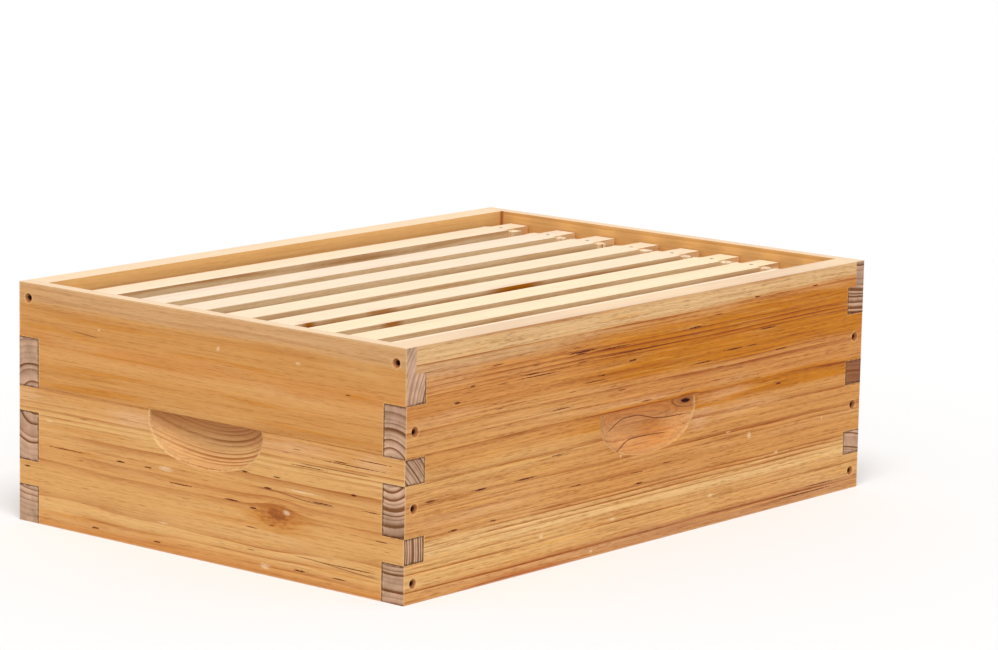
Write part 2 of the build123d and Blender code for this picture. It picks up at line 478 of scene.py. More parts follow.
def plank_look(g, along, across, depth, plank):
    """Colour and lateness (0 early wood to 1 late wood) of a plank's wood."""
    bent = across
    for knot in plank.knots:
        reach = length_of(
            (along - knot.along) / (knot.reach * 2.2), (across - knot.across) / knot.reach
        )
        bent = bent - (across - knot.across) * reach.step(1.0, 0.0) * 0.75

    drift = g.noise(along / 170 + plank.seed, bent / 34, depth / 34, detail=1.0)
    ripple = g.noise(along / 45 + plank.seed, bent / 9, depth / 9, detail=2.0)
    pith_across, pith_depth = plank.pith
    radius = length_of(bent - pith_across, depth - pith_depth)
    radius = radius + drift * plank.wander * 2 + ripple * plank.wander * 0.22
    count = radius / plank.spacing
    count = count + g.noise(count / 3.5 + plank.seed, 0.0, 0.0, detail=1.0) * 3.6
    ring = count.math("FLOOR")
    part = count - ring
    late = (part**2.6) * part.step(1.0, plank.crisp)
    draw = g.chance(ring + plank.seed)
    fade = g.noise(along / 90, ring * 0.37, plank.seed, detail=1.0) * 3.0 + 0.9
    late = late * (draw * draw * 1.1 + 0.18) * fade.least(1.5).most(0.0)

    shifted = bent + drift * 8 + g.noise(along / 60, bent / 5, plank.seed, detail=2.0) * 4
    colour = band_colour(g, shifted, plank.bands)
    if plank.far_bands:
        ragged = g.noise(along / 90, bent / 4, plank.seed + 2, detail=2.0) * 90
        beyond = (along + ragged).step(*plank.far_span)
        colour = g.mix(beyond, colour, band_colour(g, shifted, plank.far_bands))

    patches = [(*spot, AMBER) for spot in plank.stains] + [(*spot, BLOOM) for spot in plank.blooms]
    rough = g.noise(along / 45, bent / 2.2, plank.seed + 5, detail=2.0) * 1.5
    for spot_along, spot_across, half_long, half_wide, amount, tint in patches:
        far = nearest(g, along, shifted, [(spot_along, spot_across, half_long, half_wide)])
        colour = g.mix((far + rough).step(1.3, 0.3) * amount, colour, tint)

    golden = g.noise(along / 75, bent / 2.3, depth / 8 + plank.seed, detail=2.0)
    colour = g.mix(golden.step(0.03, 0.28) * plank.golden, colour, GOLD)
    cloud = g.noise(along / 120, bent / 16, depth / 16 + plank.seed, detail=2.0)
    colour = g.mix(cloud.step(0.02, 0.25) * 0.22, colour, TOFFEE)
    colour = g.mix(cloud.step(-0.02, -0.25) * 0.22, colour, PALE)
    colour = g.mix((late * plank.contrast * 2.4).least(1.0), colour, LATE_TINT, "MULTIPLY")

    dash = dashes(g, along, bent, depth, dash_cell, dash_half, plank.dash_share, plank.seed)
    first, last = plank.dash_range
    dash = dash * bent.step(first - 6, first) * bent.step(last + 6, last)
    colour = g.mix(dash * 0.95, colour, RESIN)
    fine = dashes(g, along, bent, depth, fine_cell, fine_half, plank.fine_share, plank.seed + 4)
    colour = g.mix(fine * 0.42, colour, RESIN)
    if plank.marks:
        rag = g.noise(along / 2.6, across / 0.6, plank.seed, detail=2.0) * 1.5
        near = nearest(g, along, across, plank.marks) + rag
        shown = near.step(1.0, 0.55) * depth.step(mark_depth, mark_depth / 2)
        colour = g.mix(shown, colour, RESIN)
    for split in plank.splits:
        line = crack_line(g, along, across, split) * depth.step(mark_depth, mark_depth / 2)
        colour = g.mix(line * 0.8, colour, RESIN)
    for knot in plank.knots:
        uneven = g.noise(along / 5, across / 2.2, plank.seed, detail=3.0) * knot.rough
        spot = (knot.along, knot.across, knot.half_length, knot.half_width)
        far = nearest(g, along, across, [spot]) + uneven
        bark = abs(far - 1.0).step(0.16, 0.03) * depth.step(0.1, 0.5)
        colour = g.mix(far.step(1.3, 0.7) * 0.35, colour, KNOT_RED)
        colour = g.mix(bark * knot.bark, colour, RESIN)
        colour = g.mix(far.step(0.8, 0.35) * 0.6, colour, KNOT_RED)
        colour = g.mix(far.step(0.45, 0.22) * knot.core, colour, KNOT_DARK)
    if plank.flecks:
        rag = g.noise(along / 1.1, across / 0.6, plank.seed + 9, detail=3.0) * 3.4
        near = nearest(g, along, across, plank.flecks) + rag
        shown = near.step(1.1, 0.5) * depth.step(mark_depth, mark_depth / 2)
        colour = g.mix(shown * 0.6, colour, TORN)
    return colour, late


def fibre(g, along, across, depth):
    """Fine light and dark streaks along the grain, from -1 to 1."""
    fine = g.noise(along / 9, across / 0.55, depth / 0.55, detail=2.0, roughness=0.6)
    broad = g.noise(along / 60, across / 1.4, depth / 1.4, detail=2.0)
    return fine * 2.1 + broad * 2.0


def grained(g, colour, streak, amount):
    """colour with the streaks of the fibres: light ones brighter, dark ones also deeper."""
    colour = g.brighten(colour, streak * amount + 1.0)
    return g.mix(streak.step(0.0, -0.6) * amount * 3, colour, FIBRE_TINT, "MULTIPLY")


def end_grain(g, along, across, depth, late, tone, wood, early=END_EARLY):
    """Colour of a cut across the grain of wood, the plank's colour at each place."""
    speck = g.noise(along / 0.5, across / 0.35, depth / 0.35, detail=2.0, roughness=0.7)
    saw = g.noise(across / 6, depth / 0.45, along, detail=1.0)
    patch = g.noise(across / 9, depth / 9, tone, detail=2.0)
    finger = g.noise(across / 24, along / 90, tone + 3.5, detail=0.0)
    colour = g.mix((late * (finger * 2 + 4.5)).least(1.0).most(0.0), early, END_LATE)
    colour = g.brighten(colour, speck * 0.7 + saw * 0.35 + patch * 0.9 - finger * 0.9 + 1.0)
    return g.mix(0.22, colour, g.brighten(wood, 0.75))


def top_face(normal, height, level):
    """1 on level faces up to 1 mm below level, and 0 from 3 mm below it."""
    return normal[2].step(0.8, 0.95) * height.step(level - 3, level - 1)


def sawn_end(normal_along):
    """1 where the surface is cut across the grain, from its normal's part along the grain."""
    return abs(normal_along).step(0.72, 0.92)


def board_material(name, axes, outer, planks, holes):
    """Wood of a box board.

    axes are the indices of the along, across and depth axes, and outer the place of the outer face
    on the depth axis. planks are one plank, or the lower and the upper. holes are nail holes on the
    outer face as (along, across), for along from the middle outwards on both sides.
    """
    g = Graph(name)
    point = [value / MM for value in g.place()]
    normal = g.place("Normal")
    along, across = point[axes[0]], point[axes[1]]
    depth = (point[axes[2]] - outer) * (-1 if outer > 0 else 1)

    colour, late = plank_look(g, along, across, depth, planks[0])
    if len(planks) > 1:
        upper, upper_late = plank_look(g, along, across, depth, planks[1])
        above = across.math("GREATER_THAN", plank_seam)
        colour = g.mix(above, colour, upper)
        late = late * (1 - above) + upper_late * above
    streak = fibre(g, along, across, depth)
    colour = grained(g, colour, streak, planks[0].fibre)
    colour = handhold_look(g, colour, late, along, across, depth, planks[0])
    # painted light: level top faces are made paler and less saturated, standing in for the strong
    # overhead light and sheen on them
    top = top_face(normal, point[2], box_height)
    colour = g.mix(top * 0.7, colour, LIT_TOP_FACE)
    rabbet_base = box_height - rabbet_depth
    rabbet = point[2].step(rabbet_base - 0.5, rabbet_base + 0.5)
    # painted light: the inner faces and the rabbet are made paler, standing in for the light that
    # reaches inside the box
    inner = depth.step(16, 18).most(depth.step(8.5, 9.2) * rabbet) * (1 - top)
    colour = g.mix(inner * 0.6, colour, INNER_PAINTED_LIGHT)
    # painted shade: a dark brick-brown line down each inside corner, where the inner faces meet
    corner_line = joint_line(axes)
    corner_place = corner_line
    if axes == SIDE_AXES:
        corner_place = rabbet * (board_thickness / 2) + corner_line
    corner = abs(abs(along) - corner_place).step(2.6, 0.8) * inner
    colour = g.mix(corner * 0.85, colour, BRICK)

    cut = sawn_end(normal[axes[0]])
    lines = [stop for plank in planks for stop in plank.end_lines]
    strength = band_colour(g, across, [(at, (value, value, value, 1.0)) for at, value in lines])
    end = end_grain(g, along, across, depth, strength * late, planks[0].seed, colour)
    colour = g.mix(cut, colour, end)
    shades = [spot for plank in planks for spot in plank.end_shades]
    if shades:
        shade = nearest(g, along, across, shades).step(1.05, 0.8) * cut
        colour = g.mix(shade * 0.8, colour, END_AMBER)

    # joints: dirt along the edges of each finger's end grain, and torn fibres beside them
    edge = abs(abs(along) - corner_line).least(abs(depth - board_thickness))
    ends = reduce(Number.least, (abs(across - height) for height in finger_heights))
    uneven = g.noise(along / 3, across / 3, depth / 3, detail=3.0) * 2.2
    dirt = (edge.least(ends) + uneven * 1.3).step(1.7, 0.2) * cut * 0.8
    colour = g.mix(dirt, colour, JOINT_DIRT_AND_HOLE_SHADE)
    beside = reduce(
        Number.most,
        (
            across.step(low - 1, low) * across.step(high + 1, high)
            for low, high in other_fingers(axes)
        ),
    )
    lip = abs(corner_line - abs(along)).step(1.4, 0.3) * beside
    lip = lip.most(ends.step(1.2, 0.3) * abs(along).step(corner_line - 1, corner_line))
    torn = g.noise(along / 2, across / 2, depth, detail=3.0).step(-0.08, 0.12)
    colour = g.mix(lip * torn * (1 - cut) * depth.step(0.6, 0.3) * 0.5, colour, CREAM)
    if len(planks) > 1:
        glue = (abs(across - plank_seam) + uneven * 0.3).step(0.5, 0.1) * 0.35
        colour = g.mix(glue, colour, RESIN)

    # nail holes: a rusty cone, a thin torn rim, and a dark core that is painted shade in the bore
    middles = (length_of(abs(along) - middle, across - height) for middle, height in holes)
    hole = reduce(Number.least, middles)
    at_face = depth.step(9, 6)
    rim = (abs(hole - countersink_radius - 0.5) + uneven * 0.5).step(0.9, 0.2) * at_face
    colour = g.mix(rim * uneven.step(-0.35, 0.45) * 0.6, colour, CREAM)
    cone = hole.step(countersink_radius + 0.1, countersink_radius - 0.9) * at_face
    colour = g.mix(cone * 0.85, colour, RUST)
    # painted shade: the bore of each nail hole is darkened to a dark core
    colour = g.mix((hole + uneven * 0.4).step(2.3, 1.4) * at_face, colour, JOINT_DIRT_AND_HOLE_SHADE)

    # worn outer edges: the second nearest of the box's faces is near
    outside = [half_length - abs(point[0]), half_width - abs(point[1])]
    outside.append(point[2].least(box_height - point[2]))
    second = outside[0].least(outside[1]).most(outside[0].most(outside[1]).least(outside[2]))
    worn = (second + uneven * 0.3).step(1.3, 0.2) * (1 - cut)
    colour = g.mix(worn * 0.35, colour, WORN)

    roughness = streak * 0.05 + cut * 0.2 + 0.48
    height = streak * 0.5 - late * 0.4 - dirt * 1.5
    return g.finish(colour, roughness, height, board_relief)


def handhold_look(g, colour, late, along, across, depth, plank):
    """Adds a scoop's stronger rings, and its pale rim where the cutter tore the fibres."""
    grip_base = grip_ledge_height - grip_height
    inside = abs(along).step(grip_width / 2 + 5, grip_width / 2 + 4)
    inside = inside * across.step(grip_base - 2, grip_base)
    inside = inside * across.step(grip_ledge_height + 2, grip_ledge_height + 1) * depth.step(16, 15)
    inside = inside * depth.step(0.05, 0.5)
    # a colour taken as a number is its brightness: the hearts of knots and resin stay dark
    wood = colour.step(0.03, 0.15)
    colour = g.mix(inside * wood * 0.3, colour, SCOOP)
    # painted light: the deep part of the scoop is brightened against the shade in the bowl, and its
    # shallow edge is darkened a little as painted shade
    painted_light = depth.step(1, 10) * plank.scoop_painted_light - depth.step(4, 0.5) * 0.12
    colour = g.brighten(colour, inside * painted_light + 1.0)
    # painted shadow under the ledge, in brown, together with the wood's own browner colour there
    under_ledge = across.step(grip_ledge_height - 16, grip_ledge_height - 1) * inside
    colour = g.mix(under_ledge * wood * plank.ledge_shade, colour, SCOOP_RINGS_AND_SHADE)
    if plank.scoop_rings:
        fade = along.step(30, -30) * 0.6 + 0.4
        colour = g.mix(inside * (late * fade * plank.scoop_rings).least(0.85), colour, SCOOP_RINGS_AND_SHADE)
    torn = g.noise(along / 1.3, across / 1.3, depth, detail=3.0) * 3.4
    rim = (depth + torn).step(1.9, 0.2)
    patchy = g.noise(along / 9, across / 9, depth, detail=1.0).step(-0.2, 0.1)
    colour = g.mix(inside * rim * patchy * plank.scoop_rim, colour, CREAM)
    for crack in plank.cracks:
        line = crack_line(g, along, across, crack) * inside
        colour = g.mix(line.least(1.0), colour, RESIN)
    return colour


def joint_line(axes):
    """How far out along the board its corner fingers begin."""
    reach = half_length if axes[0] == 0 else half_width
    return reach - board_thickness


def other_fingers(axes):
    """The heights at which the other board's fingers come through this board's corners."""
    on_side = axes == SIDE_AXES
    edges = (0, *finger_heights, box_height - rabbet_depth if on_side else box_height)
    start = 1 if on_side else 0
    return [(edges[k], edges[k + 1]) for k in range(start, len(edges) - 1, 2)]


SIDE_AXES = (0, 2, 1)
END_AXES = (1, 2, 0)
SIDE_HOLES = [(half_length - side_nail_setback, height) for height in side_nail_heights]
END_HOLES = [(half_width - end_nail_setback, end_nail_height)]

side_bands_seen = (
    (0, BRICK),
    (3, CLAY),
    (8, HONEY),
    (13, STRAW),
    (26, STRAW),
    (29.5, CREAM),
    (36, CREAM),
    (41, HONEY),
    (64, HONEY),
    (80, SAND),
    (90, CLAY),
    (104, HONEY),
    (115, HONEY),
    (120, TOFFEE),
    (146, TOFFEE),
    (151, FAWN),
    (159, PALE),
    (168, PALE),
)
side_bands_beyond = (
    (0, DUSK),
    (8, DUSK),
    (13, SAND),
    (26, SAND),
    (30, CREAM),
    (36, STRAW),
    (42, CLAY),
    (84, CLAY),
    (88, AMBER),
    (97, AMBER),
    (101, TOFFEE),
    (114, TOFFEE),
    (119, AMBER),
    (150, AMBER),
    (156, TOFFEE),
    (160, PALE),
    (168, PALE),
)
side_bands_hidden = (
    (0, STRAW),
    (30, PALE),
    (55, HONEY),
    (90, TOFFEE),
    (120, STRAW),
    (145, HONEY),
    (168, PALE),
)
end_bands_low = (
    (0, TOFFEE),
    (7, HONEY),
    (13, STRAW),
    (28, SAND),
    (36, SAND),
    (50, HONEY),
    (66, SAND),
    (78, STRAW),
    (90, HONEY),
    (97, HONEY),
)
end_bands_high = (
    (96, OCHRE),
    (113, OCHRE),
    (122, HONEY),
    (131, TOFFEE),
    (140, OCHRE),
    (151, OCHRE),
    (158, FAWN),
    (168, FAWN),
)

side_right = Plank(
    pith=(88, 12),
    spacing=3.9,
    bands=side_bands_seen,
    far_bands=side_bands_beyond,
    contrast=0.5,
    wander=1.9,
    fibre=0.26,
    far_span=(-130, 0),
    knots=(Knot(46, 92.8, 9.6, 4.4, 9.0, rough=0.22, core=1.0, bark=0.6),),
    cracks=(
        Crack(-38, 50, 81.6, ((-38, -8, 5.2), (2, 26, -4.4), (28, 50, 1.2))),
        Crack(-37, 30, 68.3, ((-37, -6, 4.4),)),
    ),
    stains=(
        (18, 76, 16, 9, 0.9),
        (-2, 67, 24, 4, 0.4),
        (20, 140, 70, 5, 0.6),
        (110, 140, 90, 3, 0.4),
    ),
    blooms=(
        (60, 82, 18, 5, 0.4),
        (58, 75, 14, 5, 0.4),
        (110, 78, 50, 4, 0.3),
        (84, 93, 34, 5, 0.4),
        (-20, 101, 60, 3, 0.35),
        (-215, 148, 40, 12, 0.35),
        (-205, 118, 50, 5, 0.3),
        (-190, 52, 70, 5, 0.3),
        (-120, 5, 140, 3, 0.3),
    ),
    golden=0.6,
    end_lines=((0, 0.8), (26, 0.8), (43, 1.1), (78, 1.1), (95, 0.6), (168, 0.6)),
    marks=(
        (-74, 143, 18, 0.8),
        (52, 144, 9, 0.7),
        (-126, 135, 11, 0.6),
        (-187, 135, 3, 0.7),
        (-19, 130, 5, 0.8),
        (136, 133, 12, 0.6),
        (-52, 124, 5, 0.6),
        (96, 123, 12, 0.6),
        (-202, 126, 4, 0.9),
        (-177, 65, 7, 0.9),
        (-132, 65, 13, 0.6),
        (-227, 65, 7, 0.6),
        (-9, 43, 5, 0.8),
        (-164, 42, 4, 0.6),
        (-204, 42, 5, 0.7),
        (-78, 52, 8, 0.5),
        (-12, 51, 9, 0.4),
        (22, 53, 6, 0.4),
        (-98, 76, 7, 0.4),
        (150, 91, 4, 0.7),
        (188, 5.5, 44, 0.5),
        (205, 9.5, 22, 0.4),
        (-30, 111, 5, 0.4),
        (-95, 107, 12, 0.4),
        (60, 118, 14, 0.5),
        (152, 116, 9, 0.5),
        (-60, 121, 14, 0.45),
        (-118, 133, 26, 0.45),
        (-10, 136.5, 60, 0.4),
        (-40, 141.5, 24, 0.5),
        (122, 157, 4, 0.6),
        (192, 157, 4, 0.6),
    ),
    flecks=(
        (73, 21.5, 3.2, 1.4),
        (117, 58, 2.2, 2.6),
        (-114, 23, 1.6, 1.8),
        (-37, 22.5, 3.4, 1.0),
        (150, 41, 2.4, 0.8),
        (-60, 4, 2.0, 1.0),
        (-30, 65, 1.0, 1.4),
        (205, 58, 1.0, 1.2),
        (92, 64, 3.0, 0.6),
    ),
    scoop_painted_light=0.24,
    scoop_rim=0.45,
    dash_share=0.28,
    dash_range=(100, 150),
    seed=3.1,
)
side_left = Plank(
    pith=(84, 15),
    spacing=4.6,
    bands=side_bands_hidden,
    wander=2.6,
    dash_share=0.16,
    end_lines=((0, 0.35), (30, 0.35), (43, 0.5), (78, 0.5), (95, 0.45), (168, 0.45)),
    seed=17.7,
)
front_low = Plank(
    pith=(32, -58),
    spacing=2.4,
    bands=end_bands_low,
    contrast=0.38,
    wander=1.7,
    fibre=0.14,
    golden=0.25,
    knots=(Knot(-66, 42.0, 17.0, 7.0, 16.0, rough=2.2, core=0.2, bark=0.0),),
    stains=(
        (-68, 40, 34, 7, 0.55),
        (-40, 33, 60, 2.5, 0.35),
        (110, 55, 70, 1.2, 0.4),
        (120, 71, 50, 1.4, 0.35),
        (-120, 13, 46, 1.6, 0.4),
        (120, 10, 60, 2.0, 0.35),
    ),
    splits=(
        Crack(-118, -48, 58.4, ((-118, -48, -0.2), (-60, -100, -3.0))),
        Crack(-156, -82, 17.4, ((-90, -150, -3.0),)),
        Crack(-148, -84, 80.2, ()),
        Crack(-36, -18, 45.4, ((-18, -36, 0.6),)),
    ),
    blooms=(
        (68, 88, 26, 7, 0.5),
        (-80, 89, 42, 5, 0.4),
        (-150, 88, 16, 5, 0.4),
        (170, 90, 12, 6, 0.5),
    ),
    scoop_rings=2.0,
    scoop_painted_light=0.1,
    scoop_rim=0.8,
    ledge_shade=0.6,
    end_lines=((0, 1.3), (43, 1.3), (78, 0.7), (96, 0.7)),
    marks=(
        (79, 56, 5, 0.7),
        (53, 56, 5, 0.6),
        (22, 49, 14, 0.5),
        (-25, 46, 7, 0.6),
        (-37, 67, 5, 0.6),
        (-66, 67.5, 4, 0.5),
        (-134, 66, 3, 0.9),
        (170, 39.5, 3.5, 0.8),
        (103, 6, 4, 0.8),
        (44, 6, 4, 0.6),
        (-87, 8, 6, 0.7),
        (-132, 17, 26, 0.4),
        (-105, 56.2, 14, 0.45),
        (-58, 59, 4, 0.7),
        (130, 56.5, 22, 0.4),
        (-150, 57, 10, 0.35),
        (-45, 43.5, 4, 0.8),
        (-62, 34.5, 3, 0.5),
        (-158, 39, 6, 0.4),
        (-130, 85, 34, 0.35),
        (-95, 78.5, 20, 0.35),
        (-150, 90, 20, 0.35),
    ),
    flecks=(
        (36, 57.5, 7, 1.8),
        (-75, 45, 3.5, 1.8),
        (-90, 61, 14, 0.8),
        (-56, 6, 4.5, 2.0),
        (148, 74, 2.6, 0.7),
        (38, 20, 4, 0.6),
    ),
    dash_share=0.08,
    seed=6.1,
)
front_high = Plank(
    pith=(124, 58),
    spacing=3.4,
    bands=end_bands_high,
    contrast=0.42,
    crisp=0.62,
    wander=2.6,
    golden=0.25,
    stains=(
        (100, 114, 58, 2.2, 0.55),
        (105, 109.5, 66, 1.5, 0.4),
        (108, 100, 56, 2.8, 0.6),
        (-42, 116, 40, 1.7, 0.5),
        (-100, 103, 60, 1.6, 0.4),
        (90, 147.5, 72, 1.7, 0.4),
        (-60, 149, 60, 1.4, 0.3),
        (-20, 137, 56, 1.6, 0.45),
        (-134, 131, 15, 2.0, 0.6),
        (140, 138, 40, 3.0, 0.5),
        (80, 128, 70, 1.4, 0.35),
        (-60, 126, 60, 1.3, 0.3),
    ),
    splits=(Crack(100, 128, 138.6, ((100, 128, 1.4),)),),
    fine_share=0.02,
    end_lines=((96, 0.8), (130, 1.4), (150, 1.4), (153, 0.7), (168, 0.6)),
    marks=((-128, 131, 3, 0.5),),
    flecks=((-12, 146, 1.4, 1.6), (-84, 146, 2.2, 1.0), (100, 144, 1.0, 0.8)),
    dash_share=0.0,
    seed=9.2,
)
rear_low = Plank(
    pith=(-30, 20),
    spacing=3.4,
    bands=end_bands_low,
    wander=2.2,
    end_shades=((-168, 87, 16, 13),),
    end_lines=((0, 0.6), (96, 0.6)),
    dash_share=0.12,
    seed=23.4,
)
rear_high = Plank(
    pith=(270, 0),
    spacing=3.6,
    bands=end_bands_high,
    contrast=0.7,
    wander=2.2,
    end_lines=((96, 0.8), (130, 2.0), (150, 2.0), (152, 0.3), (168, 0.3)),
    dash_share=0.08,
    seed=29.9,
)

BOARDS = {
    "side_board_right": (SIDE_AXES, -half_width, (side_right,), SIDE_HOLES),
    "side_board_left": (SIDE_AXES, half_width, (side_left,), SIDE_HOLES),
    "end_board_front": (END_AXES, -half_length, (front_low, front_high), END_HOLES),
    "end_board_rear": (END_AXES, half_length, (rear_low, rear_high), END_HOLES),
}

# resin streaks on the right sides of two top bars, given as a plank's stains from the bar's middle
BAR_STAINS = {
    5: ((-194, -12, 9, 7, 1.0), (-122, -12, 15, 6, 0.7), (24, -12, 34, 8, 1.0)),
    6: ((-150, -12, 12, 7, 0.9),),
}


def bar_material(name, axes, centre, draw, stains=()):
    """Planed pale wood of one bar of a frame, about its centre. draw is a seeded random source."""
    g = Graph(name)
    point = [value / MM - middle for value, middle in zip(g.place(), centre)]
    normal = g.place("Normal")
    along, across, depth = (point[index] for index in axes)
    turn = draw.uniform(0, 2 * math.pi)
    away = draw.uniform(35, 110)
    warm = draw.uniform(0.0, 0.5)
    level = draw.uniform(0.95, 1.02)
    rosy = draw.uniform(0.0, 1.0)
    plank = Plank(
        pith=(away * math.cos(turn), away * math.sin(turn)),
        spacing=draw.uniform(2.6, 4.2),
        bands=((-20, FRAME_PALE), (0, FRAME_WARM), (20, FRAME_PALE)),
        contrast=draw.uniform(0.35, 0.6),
        wander=1.6,
        stains=stains,
        fine_share=0.05,
        dash_share=0.05,
        seed=draw.uniform(0, 90),
    )
    colour, late = plank_look(g, along, across, depth, plank)
    tone = g.noise(along / 150, across / 14, depth / 9 + plank.seed, detail=2.0)
    colour = g.mix(tone.step(0.0, 0.3) * warm, colour, HONEY)
    streak = fibre(g, along, across, depth)
    colour = grained(g, colour, streak, 0.12)
    # painted light: the bars' level tops are made near white, standing in for the strong overhead
    # light on them; planed holds that painted top colour
    top = top_face(normal, point[2] + centre[2], frame_top)
    planed = g.brighten(g.mix(rosy, LIT_FRAME_TOP, LIT_FRAME_TOP_ROSY), streak * 0.06 + level)
    colour = g.mix(top * 0.72, colour, planed)
    cut = sawn_end(normal[axes[0]])
    end = end_grain(g, along, across, depth, late * 0.6, plank.seed, colour, FRAME_PALE)
    colour = g.mix(cut * 0.5, colour, end)
    roughness = streak * 0.05 + cut * 0.15 + 0.5
    return g.finish(colour, roughness, streak * 0.5 - late * 0.3, bar_relief)


def steel_material(name, bright, dark, roughness):
    """Dull drawn wire, darker in patches."""
    g = Graph(name)
    x, y, z = g.place()
    patch = g.noise(x / MM / 0.9, y / MM / 0.9, z / MM / 0.9, detail=3.0)
    colour = g.mix(patch.step(-0.2, 0.2), dark, bright)
    g.shader.inputs["Metallic"].default_value = 0.8
    return g.finish(colour, patch * 0.3 + roughness, patch, steel_relief)


def wax_material():
    """Pressed beeswax: deep yellow, cloudy, with a soft shine."""
    g = Graph("foundation_wax")
    x, y, z = [value / MM for value in g.place()]
    cloud = g.noise(x / 35, y / 35, z / 35, detail=3.0)
    grain = g.noise(x / 1.1, y / 1.1, z / 1.1, detail=2.0)
    low = abs(y).step(1.25, 0.3)
    colour = g.mix(cloud.step(-0.25, 0.25) * 0.5, WAX, FRAME_WARM)
    # painted shade: the bottoms of the cells are a deeper yellow
    colour = g.mix(low * 0.6, colour, WAX_SHADE)
    return g.finish(colour, grain * 0.15 + 0.42, grain, wax_relief)


# ---- foundation sheets ---------------------------------------------------------------------
def pressed_face(mesh, half_x, half_z, top, side):
    """Adds one face of a wax sheet to a bmesh: hexagonal cells with three-sided bases.

    side is -1 or 1, the way the face looks along Y. The two faces' cells are offset as in real
    comb: a cell's middle lies behind a corner of three cells on the other face, so the bases fit
    together. Heights in a cell are shares of top, the sheet's face.
    """
    corner = cell_pitch / math.sqrt(3)
    row_step = corner * 1.5
    offset = 0.0 if side < 0 else corner
    rim_scale, wall_scale, base_scale = 1.0, 0.86, 0.76
    rim_height, wall_height = 1.0, 0.93
    low_corner, high_corner = 0.22, 0.22 * 2.2
    centre_height = -0.3
    columns = int(half_x / cell_pitch) + 2
    rows = int(half_z / row_step) + 2
    shared = {}

    def point(x, z, height):
        flat = max(abs(x) - half_x, abs(z) - half_z) > -sheet_margin
        y = top if flat else top * height
        key = (round(x, 3), round(z, 3), round(y, 3))
        if key not in shared:
            shared[key] = mesh.verts.new((x * MM, side * y * MM, z * MM))
        return shared[key]

    def face(points):
        points = list(dict.fromkeys(points))
        if len(points) > 2:
            mesh.faces.new(points if side < 0 else reversed(points))

    for row in range(-rows, rows + 1):
        for column in range(-columns, columns + 1):
            cx = (column + 0.5 * (row % 2)) * cell_pitch
            cz = row * row_step + offset
            around = [math.radians(90 - 60 * k) for k in range(6)]
            rings = []
            levels = ((rim_scale, rim_height), (wall_scale, wall_height), (base_scale, None))
            for scale, raised in levels:
                ring = []
                for k, angle in enumerate(around):
                    low = low_corner if k % 2 == (0 if side < 0 else 1) else high_corner
                    height = low if raised is None else raised
                    x = cx + math.cos(angle) * corner * scale
                    z = cz + math.sin(angle) * corner * scale
                    ring.append(point(x, z, height))
                rings.append(ring)
            centre = point(cx, cz, centre_height)
            for outer, inner in zip(rings, rings[1:]):
                for k in range(6):
                    face([outer[k - 1], outer[k], inner[k], inner[k - 1]])
            base = rings[-1]
            start = 0 if side < 0 else 1
            for k in range(start, start + 6, 2):
                face([centre, base[k % 6], base[(k + 1) % 6], base[(k + 2) % 6]])


def wax_sheet_mesh(size):
    """A wax sheet about the origin, with a flat border where the frame's grooves grip it."""
    half_x, half_y, half_z = (value / 2 for value in size)
    mesh = bmesh.new()
    for side in (-1, 1):
        pressed_face(mesh, half_x, half_z, half_y, side)
    for normal, limit in (((1, 0, 0), half_x), ((0, 0, 1), half_z)):
        for sign in (-1, 1):
            way = Vector(normal) * sign
            geometry = mesh.verts[:] + mesh.edges[:] + mesh.faces[:]
            bmesh.ops.bisect_plane(
                mesh, geom=geometry, plane_co=way * limit * MM, plane_no=way, clear_outer=True
            )
    border = [edge for edge in mesh.edges if edge.is_boundary]
    grown = bmesh.ops.extrude_edge_only(mesh, edges=border)["geom"]
    for vertex in grown:
        if isinstance(vertex, bmesh.types.BMVert):
            vertex.co.y = 0.0
    bmesh.ops.remove_doubles(mesh, verts=mesh.verts[:], dist=0.0005 * MM)
    bmesh.ops.recalc_face_normals(mesh, faces=mesh.faces[:])
    data = bpy.data.meshes.new("wax_sheet")
    mesh.to_mesh(data)
    mesh.free()
    return data


def add_wax_sheets(material):
    low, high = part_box("frame_1_foundation")
    data = wax_sheet_mesh([value / MM for value in high - low])
    data.materials.append(material)
    for number in range(1, frame_count + 1):
        node = f"frame_{number}_foundation"
        low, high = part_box(node)
        sheet = bpy.data.objects.new(f"frame_{number}_wax_sheet", data)
        bpy.context.scene.collection.objects.link(sheet)
        sheet.location = (low + high) / 2
        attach(sheet, f"frame_{number}")
        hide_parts(node)


# ---- carried-over nodes --------------------------------------------------------------------
def dress(node, material, ease):
    """Gives a CAD node its material, and eases its sharp edges by ease millimetres."""
    for slot in node.material_slots:
        slot.material = material
    weld = node.modifiers.new("weld", "WELD")
    weld.merge_threshold = weld_distance * MM
    bevel = node.modifiers.new("ease", "BEVEL")
    bevel.limit_method = "ANGLE"
    bevel.angle_limit = math.radians(sharp_angle)
    bevel.width = ease * MM
    bevel.segments = 2
    bevel.use_clamp_overlap = True
    bevel.harden_normals = False
    shade = node.modifiers.new("shade", "WEIGHTED_NORMAL")
    shade.keep_sharp = False
    shade.weight = 80


def dress_boards():
    for name, (axes, outer, planks, holes) in BOARDS.items():
        material = board_material(name, axes, outer, planks, holes)
        dress(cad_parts[name], material, board_ease)


def dress_frames():
    draw = random.Random(seed)
    layout = {
        "top_bar": (0, 1, 2),
        "end_bar_front": (2, 1, 0),
        "end_bar_rear": (2, 1, 0),
        "bottom_bar": (0, 1, 2),
    }
    for number in range(1, frame_count + 1):
        for part, axes in layout.items():
            name = f"frame_{number}_{part}"
            low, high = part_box(name)
            centre = [value / MM for value in (low + high) / 2]
            stains = BAR_STAINS.get(number, ()) if part == "top_bar" else ()
            material = bar_material(name, axes, centre, draw, stains)
            dress(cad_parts[name], material, frame_ease)


def dress_nails():
    box_steel = steel_material("box_nail_steel", STEEL, STEEL_DARK, 0.5)
    frame_steel = steel_material("nail_steel", STEEL, STEEL_DARK, 0.42)
    for name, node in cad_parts.items():
        if "nails" in name:
            dress(node, frame_steel if name.startswith("frame") else box_steel, nail_ease)


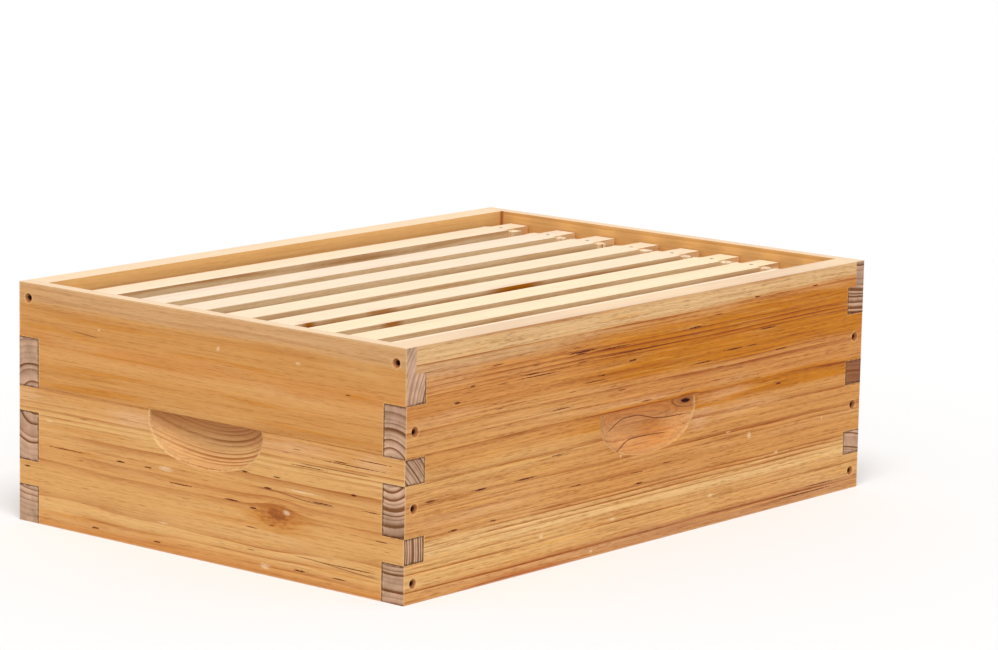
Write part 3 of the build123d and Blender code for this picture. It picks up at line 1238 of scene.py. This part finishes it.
# ---- stage ---------------------------------------------------------------------------------
def add_camera():
    """The photograph's viewpoint, with the picture's slight roll."""
    angles = (camera_azimuth, camera_elevation, camera_roll)
    azimuth, elevation, roll = (math.radians(angle) for angle in angles)
    back = Vector(
        (
            math.sin(azimuth) * math.cos(elevation),
            -math.cos(azimuth) * math.cos(elevation),
            math.sin(elevation),
        )
    )
    right = (-back).cross(Vector((0, 0, 1))).normalized()
    up = right.cross(-back)
    tilted_right = right * math.cos(roll) + up * math.sin(roll)
    tilted_up = up * math.cos(roll) - right * math.sin(roll)
    camera = bpy.data.objects.new("camera", bpy.data.cameras.new("camera"))
    bpy.context.scene.collection.objects.link(camera)
    turn = Matrix((tilted_right, tilted_up, back)).transposed()
    camera.matrix_world = Matrix.Translation(camera_place) @ turn.to_4x4()
    camera.data.sensor_width = 36
    camera.data.lens = camera_lens
    bpy.context.scene.camera = camera


def add_floor():
    """A wide pale disc that the box stands on."""
    mesh = bmesh.new()
    bmesh.ops.create_circle(mesh, cap_ends=True, segments=96, radius=floor_radius)
    data = bpy.data.meshes.new("floor")
    mesh.to_mesh(data)
    mesh.free()
    floor = bpy.data.objects.new("floor", data)
    bpy.context.scene.collection.objects.link(floor)
    floor.location.z = cad_low.z - floor_gap * MM
    material = bpy.data.materials.new("floor")
    material.use_nodes = True
    shader = material.node_tree.nodes["Principled BSDF"]
    shader.inputs["Base Color"].default_value = (0.8, 0.8, 0.8, 1)
    shader.inputs["Roughness"].default_value = 0.9
    shader.inputs["Specular IOR Level"].default_value = 0.1
    data.materials.append(material)


def light():
    """A pale sky, brighter low down so that level tops shine, and one wide soft sun."""
    world = bpy.data.worlds.new("studio")
    bpy.context.scene.world = world
    world.use_nodes = True
    nodes, links = world.node_tree.nodes, world.node_tree.links
    place = nodes.new("ShaderNodeTexCoord")
    axes = nodes.new("ShaderNodeSeparateXYZ")
    links.new(place.outputs["Generated"], axes.inputs[0])
    rise = nodes.new("ShaderNodeMapRange")
    rise.interpolation_type = "SMOOTHSTEP"
    links.new(axes.outputs["Z"], rise.inputs["Value"])
    rise.inputs["From Min"].default_value = 0.0
    rise.inputs["From Max"].default_value = sky_rise
    rise.inputs["To Min"].default_value = sky_low
    rise.inputs["To Max"].default_value = sky_high
    links.new(rise.outputs["Result"], nodes["Background"].inputs["Strength"])
    nodes["Background"].inputs["Color"].default_value = (1, 1, 1, 1)
    sun = bpy.data.objects.new("sun", bpy.data.lights.new("sun", "SUN"))
    bpy.context.scene.collection.objects.link(sun)
    sun.data.energy = sun_strength
    sun.data.angle = math.radians(sun_spread)
    sun.rotation_mode = "QUATERNION"
    sun.rotation_quaternion = Vector(sun_way).to_track_quat("-Z", "Y")
    bpy.context.scene.view_settings.view_transform = "Standard"


dress_boards()
dress_frames()
dress_nails()
add_wax_sheets(wax_material())
add_camera()
add_floor()
light()
